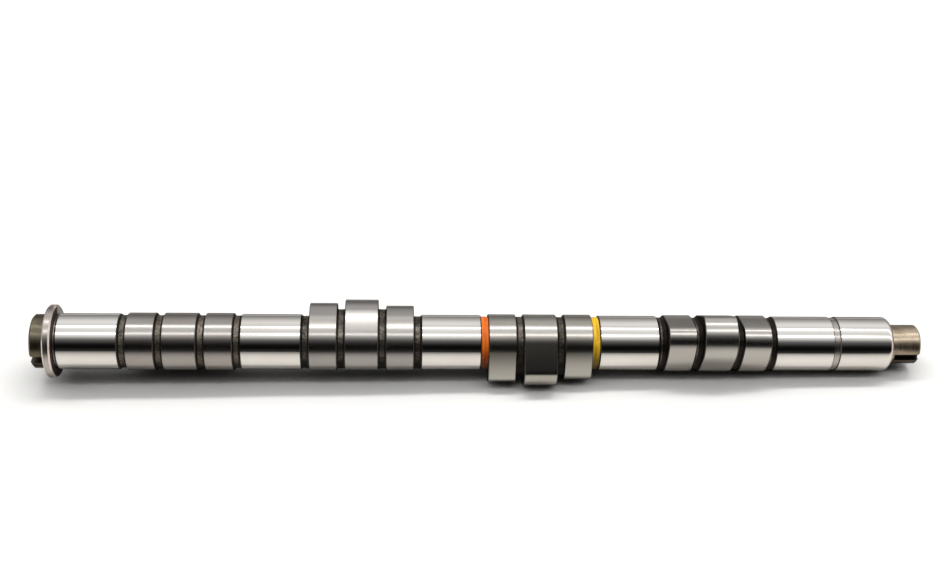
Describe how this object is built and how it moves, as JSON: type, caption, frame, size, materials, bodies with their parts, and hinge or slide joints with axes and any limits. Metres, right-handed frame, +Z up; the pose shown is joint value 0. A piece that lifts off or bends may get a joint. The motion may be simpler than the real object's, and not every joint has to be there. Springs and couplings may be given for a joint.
{
  "type": "camshaft",
  "caption": "Overhead camshaft with ground lobes and journals, a thrust flange, a slotted drive stub at the rear and a keyed nose for the timing gear.",
  "frame": {"origin": "centre of the middle bearing journal, on the shaft's axis", "axes": "+X along the shaft's axis towards the keyed nose, +Y along the drive slot with the keyway on the -Y side, +Z up as the shaft lies at rest, within 4 degrees"},
  "size_m": [0.4489, 0.0424, 0.0424],
  "materials": {
    "ground_iron": "ground and polished on journals and lobes, rough as cast between"
  },
  "bodies": {
    "root": {"camshaft": "ground_iron"}
  },
  "joints": []
}
